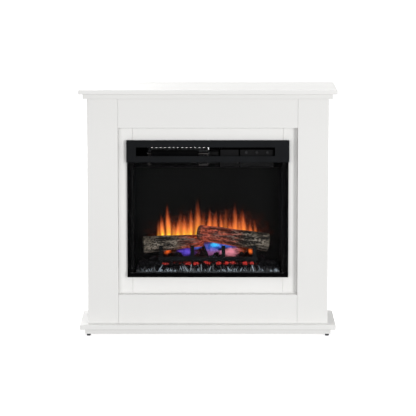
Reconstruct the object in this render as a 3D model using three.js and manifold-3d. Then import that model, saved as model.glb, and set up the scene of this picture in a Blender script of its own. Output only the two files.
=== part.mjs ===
// Electric fireplace: a painted flat-wall mantel built round a plug-in electric insert.
// Millimetres, +Z up. The front faces -Y. The origin is the middle of the footprint on the floor.
import * as THREE from 'three';
import { RoundedBoxGeometry } from 'three/addons/geometries/RoundedBoxGeometry.js';
import { mergeVertices } from 'three/addons/utils/BufferGeometryUtils.js';
import Module from 'manifold-3d';

const wasm = await Module();
wasm.setup();

// ---------------------------------------------------------------- clearances
const GAP = 0.3; // between two pieces that touch
const CASE_CLEAR = 2; // insert case in the mantel opening, each side
const RUN_CLEAR = 0.5; // a shaft or button in its hole, all round
const WHEEL_CLEAR = 3; // blower wheel to its scroll at the closest
const ROD_CLEAR = 9; // flicker rod vanes to the flame screen

// ---------------------------------------------------------------- insert sizes
const TRIM_W = 590; // front trim, side to side
const TRIM_H = 80; // trim panel above the glass
const GLASS_SHOW = 422; // glass and lower bezel below the trim
const TRIM_OUT = 20; // trim front ahead of the mantel infill
const TRIM_T = 2; // trim sheet
const SLOT_H = 32; // warm-air slot
const SLOT_UP = 23; // bar below the slot
const SLOT_END_LEFT = 35; // closed end of the trim beyond the slot
const SLOT_END_RIGHT = 52;
const SLOT_LIP = 7; // turned-in edge below the slot

const LAP_SIDE = 23.5; // trim beyond the case, each side
const LAP_END = 14; // trim beyond the case, top and bottom
const CASE_D = 217; // case behind the infill face
const SHEET = 1.5; // case sheet
const SHELF_DROP = 20; // heater shelf below the trim panel

const GLASS_T = 4;
const GLASS_INSET = 2.5; // glass narrower than the trim, each side
const GLASS_BACK = 10; // back of the glass ahead of the infill face
const RAIL_W = 14; // rails that hold the glass edges
const BEZEL_LIP_H = 15.5; // lip in front of the glass foot, level with the case floor
const BEZEL_T = 2.7;

const BED_D = 95; // ember bed, front to back
const BED_SIDE = 8; // bed to case wall
const BED_LOW = 20; // height of the bed at its front edge
const BED_HIGH = 27; // height of the bed at the screen
const BED_WALL = 10; // skirt round the pocket for the ember lights
const SCREEN_T = 3;

const GRATE_END = 89; // end of the grate bar to the case wall
const GRATE_Z = 41; // bar and runners above the case floor
const GRATE_BAR = 13; // bar height
const GRATE_T = 9; // bar thickness
const PRONG_W = 14;
const PRONG_UP = 41; // prongs above the bar
const PRONG_COUNT = 4;

const ROD_R = 20; // flicker rod over its vanes
const ROD_Z = 74; // rod axis above the case floor
const ROD_SHAFT_R = 3;
const ROD_VANES = 15;
const ROD_BUSH_IN = 34; // bush bracket to the left case wall
const ROD_MOTOR_IN = 60; // motor face to the right case wall

const WHEEL_R = 22; // blower wheel
const WHEEL_BLADES = 18;
const WHEEL_SHAFT_R = 3;
const SCROLL_GROWTH = 8; // how far the scroll opens out towards the outlet
const SCROLL_T = 1.5;
const BLOWER_Y = 112; // blower axis behind the infill face
const BLOWER_END_IN = 50; // blower housing to the left case wall
const BLOWER_MOTOR_L = 34;
const HEATER_D = 24;
const HEATER_Y = 36; // heater front behind the infill face
const HEATER_FINS = 18;

const CONTROL_W = 121;
const CONTROL_H = 62;
const CONTROL_D = 60;
const CONTROL_Y = 3; // control face behind the infill face
const CONTROL_END = 5; // control box to the slot end
const CONTROL_WALL = 2;
const BUTTON_R = 5.5;
const BUTTON_OUT = 5; // caps proud of the control face
const BUTTON_TRAVEL = 2.5;
const RECEIVER_W = 67;
const BOX_SPACE = 5; // between the two boxes

// ---------------------------------------------------------------- mantel sizes
const BOARD = 16; // board thickness
const STILE_SHOW = 30; // infill seen beside the trim
const RAIL_SHOW_LOW = 61; // infill seen below the insert
const RAIL_SHOW_TOP = 47; // infill seen above the insert
const RECESS = 35; // infill face behind the pillar face
const PILLAR_W = 111;
const HEADER_H = 107;
const LOWER_H = 107;
const SLAB_OVER = 29; // top and base slabs beyond the pillars
const STEP_OVER = 14; // second slab beyond the pillars
const TOP_T = 16;
const STEP_T = 18;
const BASE_T = 18;
const PLINTH_H = 18;
const PLINTH_IN = 18; // plinth inside the base slab edge
const PLINTH_RAIL = 26; // plinth rail, front to back
const FOOT_H = 8;
const FOOT_R = 8;
const BACK_AIR = 9; // case back to the wall plane
const BACK_RAIL_H = 80;
const EASE = 1; // eased board edges

// ---------------------------------------------------------------- levels that follow
const INSERT_H = GLASS_SHOW + TRIM_H;
const zPlinth = FOOT_H;
const zBase = zPlinth + PLINTH_H;
const zPillar = zBase + BASE_T;
const zLedge = zPillar + LOWER_H;
const zInsert = zLedge + RAIL_SHOW_LOW;
const zSoffit = zInsert + INSERT_H + RAIL_SHOW_TOP;
const zStep = zSoffit + HEADER_H;
const zTop = zStep + STEP_T;

const xReveal = TRIM_W / 2 + STILE_SHOW;
const xPillar = xReveal + PILLAR_W;
const xSlab = xPillar + SLAB_OVER;

const depth = SLAB_OVER + RECESS + CASE_D + BACK_AIR;
const yFront = -depth / 2;
const yWall = depth / 2;
const yPillar = yFront + SLAB_OVER;
const yInfill = yPillar + RECESS;

const caseHalf = TRIM_W / 2 - LAP_SIDE;
const openHalf = caseHalf + CASE_CLEAR;
const zOpenLow = zInsert + LAP_END - CASE_CLEAR;
const zOpenTop = zInsert + INSERT_H - LAP_END + CASE_CLEAR;

// ---------------------------------------------------------------- finishes
function finish(color, roughness, metalness = 0) {
  return new THREE.MeshStandardMaterial({ color, roughness, metalness });
}

const whitePaint = () => finish(0xe9e8e6, 0.45);
const rawBoard = () => finish(0xb79c78, 0.85);
const blackSteel = () => finish(0x17181b, 0.5, 0.4);
const greySteel = () => finish(0x9aa0a4, 0.4, 0.9);
const blackPlastic = () => finish(0x1d1d1f, 0.55);

// ---------------------------------------------------------------- solids
function boxAt([x0, x1], [y0, y1], [z0, z1]) {
  const box = new THREE.BoxGeometry(x1 - x0, y1 - y0, z1 - z0);
  return box.translate((x0 + x1) / 2, (y0 + y1) / 2, (z0 + z1) / 2);
}

function tubeX(radius, x0, x1, y, z, sides = 24) {
  const tube = new THREE.CylinderGeometry(radius, radius, x1 - x0, sides);
  return tube.rotateZ(Math.PI / 2).translate((x0 + x1) / 2, y, z);
}

function tubeY(radius, y0, y1, x, z, sides = 24) {
  const tube = new THREE.CylinderGeometry(radius, radius, y1 - y0, sides);
  return tube.translate(x, (y0 + y1) / 2, z);
}

// A profile of [y, z] points, carried along X.
function profileX(points, x0, x1) {
  const outline = new THREE.Shape(points.map(([y, z]) => new THREE.Vector2(y, z)));
  const bar = new THREE.ExtrudeGeometry(outline, { depth: x1 - x0, bevelEnabled: false });
  return bar.rotateX(Math.PI / 2).rotateZ(Math.PI / 2).translate(x0, 0, 0);
}

// A profile of [x, y] points, carried up Z.
function profileZ(points, z0, z1) {
  const outline = new THREE.Shape(points.map(([x, y]) => new THREE.Vector2(x, y)));
  const bar = new THREE.ExtrudeGeometry(outline, { depth: z1 - z0, bevelEnabled: false });
  return bar.translate(0, 0, z0);
}

function toSolid(geometry) {
  const bare = geometry.clone();
  bare.deleteAttribute('normal');
  bare.deleteAttribute('uv');
  const merged = mergeVertices(bare, 1e-4);
  const mesh = new wasm.Mesh({
    numProp: 3,
    vertProperties: new Float32Array(merged.attributes.position.array),
    triVerts: new Uint32Array(merged.index.array),
  });
  mesh.merge();
  return new wasm.Manifold(mesh);
}

function toGeometry(solid) {
  const mesh = solid.getMesh();
  const geometry = new THREE.BufferGeometry();
  geometry.setAttribute('position', new THREE.BufferAttribute(mesh.vertProperties, 3));
  geometry.setIndex(new THREE.BufferAttribute(mesh.triVerts, 1));
  geometry.computeVertexNormals();
  return geometry;
}

function joined(...geometries) {
  const [first, ...rest] = geometries.map(toSolid);
  return toGeometry(rest.reduce((whole, next) => whole.add(next), first));
}

function cut(geometry, ...tools) {
  return toGeometry(tools.reduce((whole, tool) => whole.subtract(toSolid(tool)), toSolid(geometry)));
}

// ---------------------------------------------------------------- scene graph
const fireplace = new THREE.Group();
const mantel = new THREE.Group();
const insert = new THREE.Group();
// The insert has its own frame: y runs back from the infill face, z up from its lower edge.
insert.position.set(0, yInfill, zInsert);
fireplace.add(mantel, insert);

function add(group, name, geometry, material) {
  const mesh = new THREE.Mesh(geometry, material);
  mesh.name = name;
  group.add(mesh);
  return mesh;
}

// A board between three pairs of planes, with its edges eased.
function addBoard(group, name, xs, ys, zs, material, ease = EASE) {
  const size = [xs, ys, zs].map(([low, high]) => high - low);
  const geometry = ease > 0 ? new RoundedBoxGeometry(...size, 1, ease) : new THREE.BoxGeometry(...size);
  const mesh = add(group, name, geometry, material);
  mesh.position.set((xs[0] + xs[1]) / 2, (ys[0] + ys[1]) / 2, (zs[0] + zs[1]) / 2);
  return mesh;
}

// The same range on the left (-1) or right (+1) of the middle.
function mirrored(side, low, high) {
  return side < 0 ? [-high, -low] : [low, high];
}

const sides = [
  { name: 'left', sign: -1 },
  { name: 'right', sign: 1 },
];

// ================================================================ mantel
// Slabs: the shelf on top, the step under it, and the base on its plinth rails.
addBoard(mantel, 'top_slab', [-xSlab, xSlab], [yFront, yWall], [zTop, zTop + TOP_T], whitePaint(), 1.5);
addBoard(
  mantel, 'step_slab',
  [-xPillar - STEP_OVER, xPillar + STEP_OVER], [yPillar - STEP_OVER, yWall], [zStep, zTop - GAP],
  whitePaint(),
);
addBoard(mantel, 'base_slab', [-xSlab, xSlab], [yFront, yWall], [zBase, zPillar - GAP], whitePaint(), 1.5);

const xPlinth = xSlab - PLINTH_IN;
const yPlinth = yFront + PLINTH_IN;
const plinthLevels = [zPlinth, zBase - GAP];
addBoard(
  mantel, 'plinth_front',
  [-xPlinth, xPlinth], [yPlinth, yPlinth + PLINTH_RAIL], plinthLevels, whitePaint(),
);
const footY = [yPlinth + PLINTH_RAIL / 2, yWall - PLINTH_RAIL / 2];
for (const { name, sign } of sides) {
  addBoard(
    mantel, `plinth_${name}`,
    mirrored(sign, xPlinth - PLINTH_RAIL, xPlinth),
    [yPlinth + PLINTH_RAIL + GAP, yWall],
    plinthLevels, whitePaint(),
  );
  for (const [row, y] of [['front', footY[0]], ['back', footY[1]]]) {
    // A glide: a low dish with a rounded lower edge.
    const glide = new THREE.LatheGeometry(
      [
        [0, 0], [FOOT_R - 2, 0], [FOOT_R - 0.6, 0.8], [FOOT_R, 2.4],
        [FOOT_R - 1, FOOT_H - GAP], [0, FOOT_H - GAP],
      ].map(([r, z]) => new THREE.Vector2(r, z)),
      20,
    ).rotateX(Math.PI / 2);
    const foot = add(mantel, `foot_${row}_${name}`, glide, finish(0x4a4a4c, 0.6));
    foot.position.set(sign * (xPlinth - PLINTH_RAIL / 2), y, 0);
  }
}

// Pillars: a face board, the outer side panel and the inner reveal down to the infill.
const pillarLevels = [zPillar, zStep - GAP];
for (const { name, sign } of sides) {
  addBoard(
    mantel, `pillar_board_${name}`,
    mirrored(sign, xReveal, xPillar), [yPillar, yPillar + BOARD], pillarLevels, whitePaint(),
  );
  addBoard(
    mantel, `side_panel_${name}`,
    mirrored(sign, xPillar - BOARD, xPillar), [yPillar + BOARD + GAP, yWall], pillarLevels, whitePaint(),
  );
  addBoard(
    mantel, `reveal_${name}`,
    mirrored(sign, xReveal, xReveal + BOARD),
    [yPillar + BOARD + GAP, yInfill + 2 * BOARD],
    pillarLevels, whitePaint(),
  );
}

// Header and lower board lie flush between the pillars, each with a return to the infill.
const between = [-xReveal + GAP, xReveal - GAP];
const faceDepth = [yPillar, yPillar + BOARD];
const returnDepth = [yPillar + BOARD + GAP, yInfill - GAP];
addBoard(mantel, 'header_board', between, faceDepth, [zSoffit, zStep - GAP], whitePaint());
addBoard(mantel, 'soffit_board', between, returnDepth, [zSoffit, zSoffit + BOARD], whitePaint());
addBoard(mantel, 'lower_board', between, faceDepth, [zPillar, zLedge], whitePaint());
addBoard(mantel, 'ledge_board', between, returnDepth, [zLedge - BOARD, zLedge], whitePaint());

// Infill: two stiles and two rails round the opening for the insert.
const infillDepth = [yInfill, yInfill + BOARD];
for (const { name, sign } of sides) {
  addBoard(
    mantel, `infill_stile_${name}`,
    mirrored(sign, openHalf, xReveal - GAP), infillDepth, [zLedge - BOARD, zSoffit + BOARD], whitePaint(),
  );
}
const railSpan = [-openHalf + GAP, openHalf - GAP];
addBoard(mantel, 'infill_rail_low', railSpan, infillDepth, [zLedge - BOARD, zOpenLow], whitePaint());
addBoard(mantel, 'infill_rail_top', railSpan, infillDepth, [zOpenTop, zSoffit + BOARD], whitePaint());

// Inside: the shelf that carries the insert between the side panels, and the rail at the wall.
const insideHalf = xPillar - BOARD - GAP;
const revealOuter = xReveal + BOARD + GAP;
const shelfTop = zInsert + LAP_END - GAP;
const shelfOutline = [
  [-insideHalf, yWall - BOARD],
  [-insideHalf, yPillar + BOARD + GAP],
  [-revealOuter, yPillar + BOARD + GAP],
  [-revealOuter, yInfill + 2 * BOARD + GAP],
  [-xReveal + GAP, yInfill + 2 * BOARD + GAP],
  [-xReveal + GAP, yInfill + BOARD + GAP],
  [xReveal - GAP, yInfill + BOARD + GAP],
  [xReveal - GAP, yInfill + 2 * BOARD + GAP],
  [revealOuter, yInfill + 2 * BOARD + GAP],
  [revealOuter, yPillar + BOARD + GAP],
  [insideHalf, yPillar + BOARD + GAP],
  [insideHalf, yWall - BOARD],
];
add(mantel, 'insert_shelf', profileZ(shelfOutline, shelfTop - BOARD, shelfTop), rawBoard());
addBoard(
  mantel, 'back_rail',
  [-insideHalf, insideHalf], [yWall - BOARD, yWall], [zStep - GAP - BACK_RAIL_H, zStep - GAP],
  rawBoard(), 0,
);

// ================================================================ insert: case
const floorZ = LAP_END + SHEET; // upper face of the case floor
const roofZ = INSERT_H - LAP_END - SHEET; // lower face of the case roof
const backY = CASE_D - SHEET; // front face of the case back
const wallX = caseHalf - SHEET; // inner face of a case side
const flangeFront = -GAP - SHEET;
const shelfZ = GLASS_SHOW - SHELF_DROP; // underside of the heater shelf
const shelfTopZ = shelfZ + SHEET;

for (const { name, sign } of sides) {
  // A side sheet with its front edge turned out over the infill.
  const flangeX = TRIM_W / 2 - GLASS_INSET - 2;
  const side = [
    [wallX, flangeFront], [flangeX, flangeFront], [flangeX, -GAP],
    [caseHalf, -GAP], [caseHalf, CASE_D], [wallX, CASE_D],
  ].map(([x, y]) => [sign * x, y]);
  add(insert, `case_${name}`, profileZ(side, LAP_END, INSERT_H - LAP_END), blackSteel());
}
const caseSpan = [-wallX + GAP, wallX - GAP];
addBoard(insert, 'case_floor', caseSpan, [flangeFront, CASE_D], [LAP_END, floorZ], blackSteel(), 0);
addBoard(insert, 'case_roof', caseSpan, [flangeFront, CASE_D], [roofZ, roofZ + SHEET], blackSteel(), 0);

// Back sheet: three rows of intake slots at blower height and the hole for the mains inlet.
const GRILLE_COLUMNS = 14;
const GRILLE_ROWS = 3;
const GRILLE_PITCH_X = 16;
const GRILLE_PITCH_Z = 20;
const GRILLE_SLOT = [6, 15];
const INLET_R = 9;
const inletX = wallX - 50;
const inletZ = floorZ + 30;
const grilleX = -wallX + BLOWER_END_IN + 10;
const grilleZ = shelfTopZ + 14;
const backCuts = [tubeY(INLET_R + RUN_CLEAR, backY - 2, CASE_D + 2, inletX, inletZ)];
for (let row = 0; row < GRILLE_ROWS; row += 1) {
  for (let column = 0; column < GRILLE_COLUMNS; column += 1) {
    const x = grilleX + column * GRILLE_PITCH_X;
    const z = grilleZ + row * GRILLE_PITCH_Z;
    const [slotW, slotH] = GRILLE_SLOT;
    backCuts.push(boxAt([x, x + slotW], [backY - 2, CASE_D + 2], [z, z + slotH]));
  }
}
const backSheet = boxAt(caseSpan, [backY, CASE_D], [floorZ + GAP, roofZ - GAP]);
add(insert, 'case_back', cut(backSheet, ...backCuts), blackSteel());

// Mains inlet bush: a flanged collar through the back sheet, with its bore open both ways.
const inletProfile = [
  [5, -5], [INLET_R, -5], [INLET_R, SHEET + GAP], [INLET_R + 4, SHEET + GAP],
  [INLET_R + 4, SHEET + 3], [INLET_R - 1, SHEET + 7], [5, SHEET + 7], [5, -5],
].map(([r, y]) => new THREE.Vector2(r, y));
const inlet = add(insert, 'mains_inlet', new THREE.LatheGeometry(inletProfile, 20), blackPlastic());
inlet.position.set(inletX, backY, inletZ);

// The shelf that parts the heater above from the flame chamber below.
addBoard(
  insert, 'heater_shelf',
  caseSpan, [-GLASS_BACK + 0.5, backY - GAP], [shelfZ, shelfTopZ], blackSteel(), 0,
);

// ================================================================ insert: front
const trimBack = flangeFront - GAP;
const slotZ = GLASS_SHOW + SLOT_UP;
const slotX = [-TRIM_W / 2 + SLOT_END_LEFT, TRIM_W / 2 - SLOT_END_RIGHT];
{
  // Trim: a hood open at the back, with the slot through its face and a lip below the slot.
  const hood = new RoundedBoxGeometry(TRIM_W, TRIM_OUT + trimBack, TRIM_H, 1, 1);
  hood.translate(0, (trimBack - TRIM_OUT) / 2, GLASS_SHOW + TRIM_H / 2);
  const hollow = boxAt(
    [-TRIM_W / 2 + TRIM_T, TRIM_W / 2 - TRIM_T],
    [-TRIM_OUT + TRIM_T, trimBack + 1],
    [GLASS_SHOW + TRIM_T, GLASS_SHOW + TRIM_H - TRIM_T],
  );
  const slot = boxAt(slotX, [-TRIM_OUT - 1, -TRIM_OUT + 8], [slotZ, slotZ + SLOT_H]);
  const lip = boxAt(
    slotX, [-TRIM_OUT + TRIM_T / 2, -TRIM_OUT + SLOT_LIP], [slotZ - TRIM_T, slotZ],
  );
  const face = toSolid(hood).subtract(toSolid(hollow)).subtract(toSolid(slot)).add(toSolid(lip));
  add(insert, 'front_trim', toGeometry(face), blackSteel());
}

const glassHalf = TRIM_W / 2 - GLASS_INSET;
const glassFront = -GLASS_BACK - GLASS_T;
addBoard(
  insert, 'glass_pane',
  [-glassHalf, glassHalf], [glassFront, -GLASS_BACK], [BEZEL_T + GAP, GLASS_SHOW - GAP],
  finish(0x0a0a0c, 0.06), 0.6,
);
for (const { name, sign } of sides) {
  addBoard(
    insert, `glass_rail_${name}`,
    mirrored(sign, glassHalf - RAIL_W, glassHalf),
    [-GLASS_BACK + GAP, trimBack], [BEZEL_T + GAP, GLASS_SHOW - GAP],
    blackSteel(), 0,
  );
}
const bezel = [
  [glassFront - GAP - BEZEL_T, 0],
  [trimBack, 0],
  [trimBack, BEZEL_T],
  [glassFront - GAP, BEZEL_T],
  [glassFront - GAP, BEZEL_LIP_H],
  [glassFront - GAP - BEZEL_T, BEZEL_LIP_H],
];
add(insert, 'bottom_bezel', profileX(bezel, -glassHalf, glassHalf), blackSteel());

// ================================================================ insert: fire
const bedFront = 2;
const bedBack = bedFront + BED_D;
const screenY = bedBack + 1;
const screenBack = screenY + SCREEN_T;
addBoard(
  insert, 'flame_screen',
  [-wallX + 0.6, wallX - 0.6], [screenY, screenBack], [floorZ + GAP, shelfZ - GAP],
  finish(0x2a1712, 0.35), 0,
);

// A closed skin over a grid of columns: rows of points [x, y, top], on a flat underside.
function mound(xs, ys, top, bottom) {
  const points = [];
  const faces = [];
  const across = xs.length;
  const count = across * ys.length;
  for (const y of ys) {
    for (const x of xs) {
      points.push(x, y, top(x, y));
    }
  }
  for (const y of ys) {
    for (const x of xs) {
      points.push(x, y, bottom);
    }
  }
  for (let j = 0; j < ys.length - 1; j += 1) {
    for (let i = 0; i < across - 1; i += 1) {
      const a = j * across + i;
      const b = a + across;
      faces.push(a, a + 1, b + 1, a, b + 1, b);
      faces.push(count + a, count + b + 1, count + a + 1, count + a, count + b, count + b + 1);
    }
  }
  const wall = (a, b) => faces.push(a, count + b, count + a, a, b, count + b);
  for (let i = 0; i < across - 1; i += 1) {
    wall(i + 1, i);
    wall((ys.length - 1) * across + i, (ys.length - 1) * across + i + 1);
  }
  for (let j = 0; j < ys.length - 1; j += 1) {
    wall(j * across, (j + 1) * across);
    wall((j + 2) * across - 1, (j + 1) * across - 1);
  }
  const geometry = new THREE.BufferGeometry();
  geometry.setAttribute('position', new THREE.Float32BufferAttribute(points, 3));
  geometry.setIndex(faces);
  return geometry;
}

function steps(low, high, count) {
  return Array.from({ length: count + 1 }, (_, i) => low + ((high - low) * i) / count);
}

// Grate: a front bar with upright prongs, and a runner and feet behind the prongs.
const barFront = bedFront + 10;
const barBack = barFront + GRATE_T;
const barLow = floorZ + GRATE_Z;
const barTop = barLow + GRATE_BAR;
const grateHalf = caseHalf - GRATE_END;
const prongX = steps(-grateHalf + PRONG_W - 2, grateHalf - PRONG_W + 2, PRONG_COUNT - 1);
const runnerBack = bedBack - 8;
const RUNNER_W = 9;
const LEG = 8;
const LEG_SINK = 6; // legs stand this deep in sockets of the bed
const legFoot = floorZ + BED_LOW - LEG_SINK;
const legBoxes = [prongX[0], prongX[prongX.length - 1]].flatMap((x) =>
  [barFront + 0.5, runnerBack - LEG].map((y) => ({
    x: [x - LEG / 2, x + LEG / 2],
    y: [y, y + LEG],
  })),
);
{
  const pieces = [boxAt([-grateHalf, grateHalf], [barFront, barBack], [barLow, barTop])];
  for (const x of prongX) {
    const half = PRONG_W / 2;
    const prong = profileX(
      [[barFront, barLow], [barBack, barLow], [barBack, barTop + PRONG_UP], [barFront + 3, barTop + PRONG_UP]],
      x - half, x + half,
    );
    pieces.push(prong);
    pieces.push(boxAt([x - RUNNER_W / 2, x + RUNNER_W / 2], [barFront + 2, runnerBack], [barLow, barTop]));
  }
  for (const leg of legBoxes) {
    pieces.push(boxAt(leg.x, leg.y, [legFoot, barLow + 2]));
  }
  add(insert, 'grate', joined(...pieces), finish(0x1b1b1d, 0.7, 0.3));
}

// Ember bed: a moulded bed of coals over a pocket for the ember lights, with sockets for the grate.
const bedHalf = wallX - BED_SIDE;
function bedTop(x, y) {
  const back = (y - bedFront) / BED_D;
  const coals = Math.sin(x * 0.21) * Math.cos(y * 0.17) + Math.sin(x * 0.083 + y * 0.11 + 1.7);
  return floorZ + BED_LOW + (BED_HIGH - BED_LOW) * back + 1.8 * coals;
}
{
  const bed = mound(steps(-bedHalf, bedHalf, 46), steps(bedFront, bedBack, 9), bedTop, floorZ + GAP);
  const pocket = boxAt(
    [-bedHalf + BED_WALL, bedHalf - BED_WALL],
    [bedFront + BED_WALL, bedBack - BED_WALL],
    [floorZ - 1, floorZ + BED_LOW - LEG_SINK - 4],
  );
  const sockets = legBoxes.map((leg) =>
    boxAt(
      [leg.x[0] - GAP, leg.x[1] + GAP], [leg.y[0] - GAP, leg.y[1] + GAP],
      [legFoot - GAP, floorZ + BED_HIGH + 10],
    ),
  );
  add(insert, 'ember_bed', cut(bed, pocket, ...sockets), finish(0x3a3c42, 0.8));
}

// A log: a tapering trunk with shallow bark ridges from one end point to the other.
function logGeometry(from, to, fromR, toR, phase) {
  const RINGS = 14;
  const AROUND = 16;
  const BARK = 0.045; // ridge height as a part of the radius
  const axis = new THREE.Vector3().subVectors(to, from);
  const length = axis.length();
  const points = [0, 0, 0];
  for (let i = 0; i <= RINGS; i += 1) {
    const along = i / RINGS;
    const radius = fromR + (toR - fromR) * along;
    for (let k = 0; k < AROUND; k += 1) {
      const turn = (2 * Math.PI * k) / AROUND;
      const ridge = Math.sin(3 * turn + phase) + 0.6 * Math.sin(5 * turn + 9 * along + phase);
      const r = radius * (1 - BARK + BARK * 0.6 * ridge);
      points.push(along * length, r * Math.cos(turn), r * Math.sin(turn));
    }
  }
  points.push(length, 0, 0);
  const last = points.length / 3 - 1;
  const at = (i, k) => 1 + i * AROUND + (k % AROUND);
  const faces = [];
  for (let k = 0; k < AROUND; k += 1) {
    faces.push(0, at(0, k + 1), at(0, k));
    faces.push(last, at(RINGS, k), at(RINGS, k + 1));
    for (let i = 0; i < RINGS; i += 1) {
      faces.push(at(i, k), at(i, k + 1), at(i + 1, k + 1), at(i, k), at(i + 1, k + 1), at(i + 1, k));
    }
  }
  const geometry = new THREE.BufferGeometry();
  geometry.setAttribute('position', new THREE.Float32BufferAttribute(points, 3));
  geometry.setIndex(faces);
  const turn = new THREE.Quaternion().setFromUnitVectors(new THREE.Vector3(1, 0, 0), axis.normalize());
  return geometry.applyQuaternion(turn).translate(from.x, from.y, from.z);
}

// Each log stands on two pegs on the grate runners.
const PEG_R = 4;
function addLog(name, from, to, fromR, toR, phase, pegs) {
  const trunk = logGeometry(from, to, fromR, toR, phase);
  const posts = pegs.map((x) => {
    const along = (x - from.x) / (to.x - from.x);
    const y = from.y + (to.y - from.y) * along;
    const z = from.z + (to.z - from.z) * along;
    const foot = barTop + GAP;
    const post = new THREE.CylinderGeometry(PEG_R, PEG_R, z - foot, 12).rotateX(Math.PI / 2);
    return post.translate(x, y, (z + foot) / 2);
  });
  add(insert, name, joined(trunk, ...posts), finish(0x5a4638, 0.9));
}
const LOG_LEFT_IN = 33; // outer end of the left log to the case wall
const LOG_RIGHT_IN = 47;
addLog(
  'log_left',
  new THREE.Vector3(-caseHalf + LOG_LEFT_IN, bedFront + 58, barTop + 37.5),
  new THREE.Vector3(prongX[1] + 42, bedFront + 69, barTop + 52.5),
  33, 22, 0.4, [prongX[0], prongX[1]],
);
addLog(
  'log_right',
  new THREE.Vector3(prongX[1] + 18, bedFront + 28, barTop + 89.5),
  new THREE.Vector3(caseHalf - LOG_RIGHT_IN, bedFront + 56.5, barTop + 46.5),
  28, 33.5, 2.1, [prongX[2], prongX[3]],
);

// ================================================================ insert: lights and flicker rod
// A light board: a thin board with a row of lamps on its upper face.
function lightBoard(half, y0, y1, z, lamps) {
  const board = boxAt([-half, half], [y0, y1], [z, z + 1.6]);
  const middle = (y0 + y1) / 2;
  const chips = steps(-half + 15, half - 15, lamps - 1).map((x) =>
    boxAt([x - 2.5, x + 2.5], [middle - 2.5, middle + 2.5], [z + 1, z + 3.2]),
  );
  return joined(board, ...chips);
}
const boardZ = floorZ + GAP;
const emberHalf = bedHalf - BED_WALL - 5;
add(
  insert, 'ember_light_board',
  lightBoard(emberHalf, bedFront + BED_WALL + 15, bedBack - BED_WALL - 15, boardZ, 12),
  finish(0x1d5b3a, 0.5),
);

const rodY = screenBack + ROD_CLEAR + ROD_R;
const rodZ = floorZ + ROD_Z;
const bushX = -wallX + ROD_BUSH_IN;
const motorX = wallX - ROD_MOTOR_IN;
const STAND_T = 4;
add(
  insert, 'flame_light_board',
  lightBoard(wallX - ROD_MOTOR_IN - 8, rodY - 18, rodY + 18, boardZ, 14),
  finish(0x1d5b3a, 0.5),
);

{
  // Rod: a shaft with bent mirror vanes set round it in a slow spiral.
  const shaft = tubeX(ROD_SHAFT_R, bushX - STAND_T - 3, motorX + 6, 0, 0, 16);
  const VANE_T = 0.8;
  const pitch = (motorX - bushX - 30) / ROD_VANES;
  const vanes = steps(bushX + 12, motorX - 12 - pitch, ROD_VANES - 1).map((x, i) => {
    const vane = boxAt([x, x + pitch - 4], [-ROD_R, ROD_R], [-VANE_T / 2, VANE_T / 2]);
    return vane.rotateX((i * Math.PI) / 5);
  });
  const rod = add(insert, 'flicker_rod', joined(shaft, ...vanes), finish(0xc9cccf, 0.15, 1));
  rod.position.set(0, rodY, rodZ);
}

// A stand: a plate up from the case floor with a boss round a bore at rod height.
function stand(x0, bossFrom, bossTo, bossR, boreR, boreTo) {
  const plate = boxAt([x0, x0 + STAND_T], [rodY - 16, rodY + 16], [floorZ + GAP, rodZ + 16]);
  const foot = boxAt([x0, x0 + 16], [rodY + 6, rodY + 16], [floorZ + GAP, floorZ + GAP + 3]);
  const boss = tubeX(bossR, bossFrom, bossTo, rodY, rodZ, 28);
  const bore = tubeX(boreR, boreTo[0], boreTo[1], rodY, rodZ, 20);
  return toGeometry(toSolid(plate).add(toSolid(foot)).add(toSolid(boss)).subtract(toSolid(bore)));
}
const rodBore = ROD_SHAFT_R + RUN_CLEAR;
add(
  insert, 'rod_bush',
  stand(bushX - STAND_T, bushX - STAND_T - 3, bushX + 3, 7, rodBore, [bushX - 20, bushX + 20]),
  finish(0xd8d6cf, 0.5),
);
add(
  insert, 'flicker_motor',
  stand(motorX, motorX - 2, motorX + 26, 24, rodBore, [motorX - 10, motorX + 8]),
  greySteel(),
);

// ================================================================ insert: blower and heater
const controlX1 = slotX[1] - CONTROL_END;
const controlX0 = controlX1 - CONTROL_W;
const receiverX1 = controlX0 - BOX_SPACE;
const receiverX0 = receiverX1 - RECEIVER_W;
const blowerX0 = -wallX + BLOWER_END_IN;
const blowerX1 = receiverX0 - 6 - BLOWER_MOTOR_L;
const scrollR = WHEEL_R + WHEEL_CLEAR;
const wheelZ = shelfTopZ + GAP + SCROLL_T + scrollR + SCROLL_GROWTH;
const ductFront = HEATER_Y + HEATER_D + GAP + 2;

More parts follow.
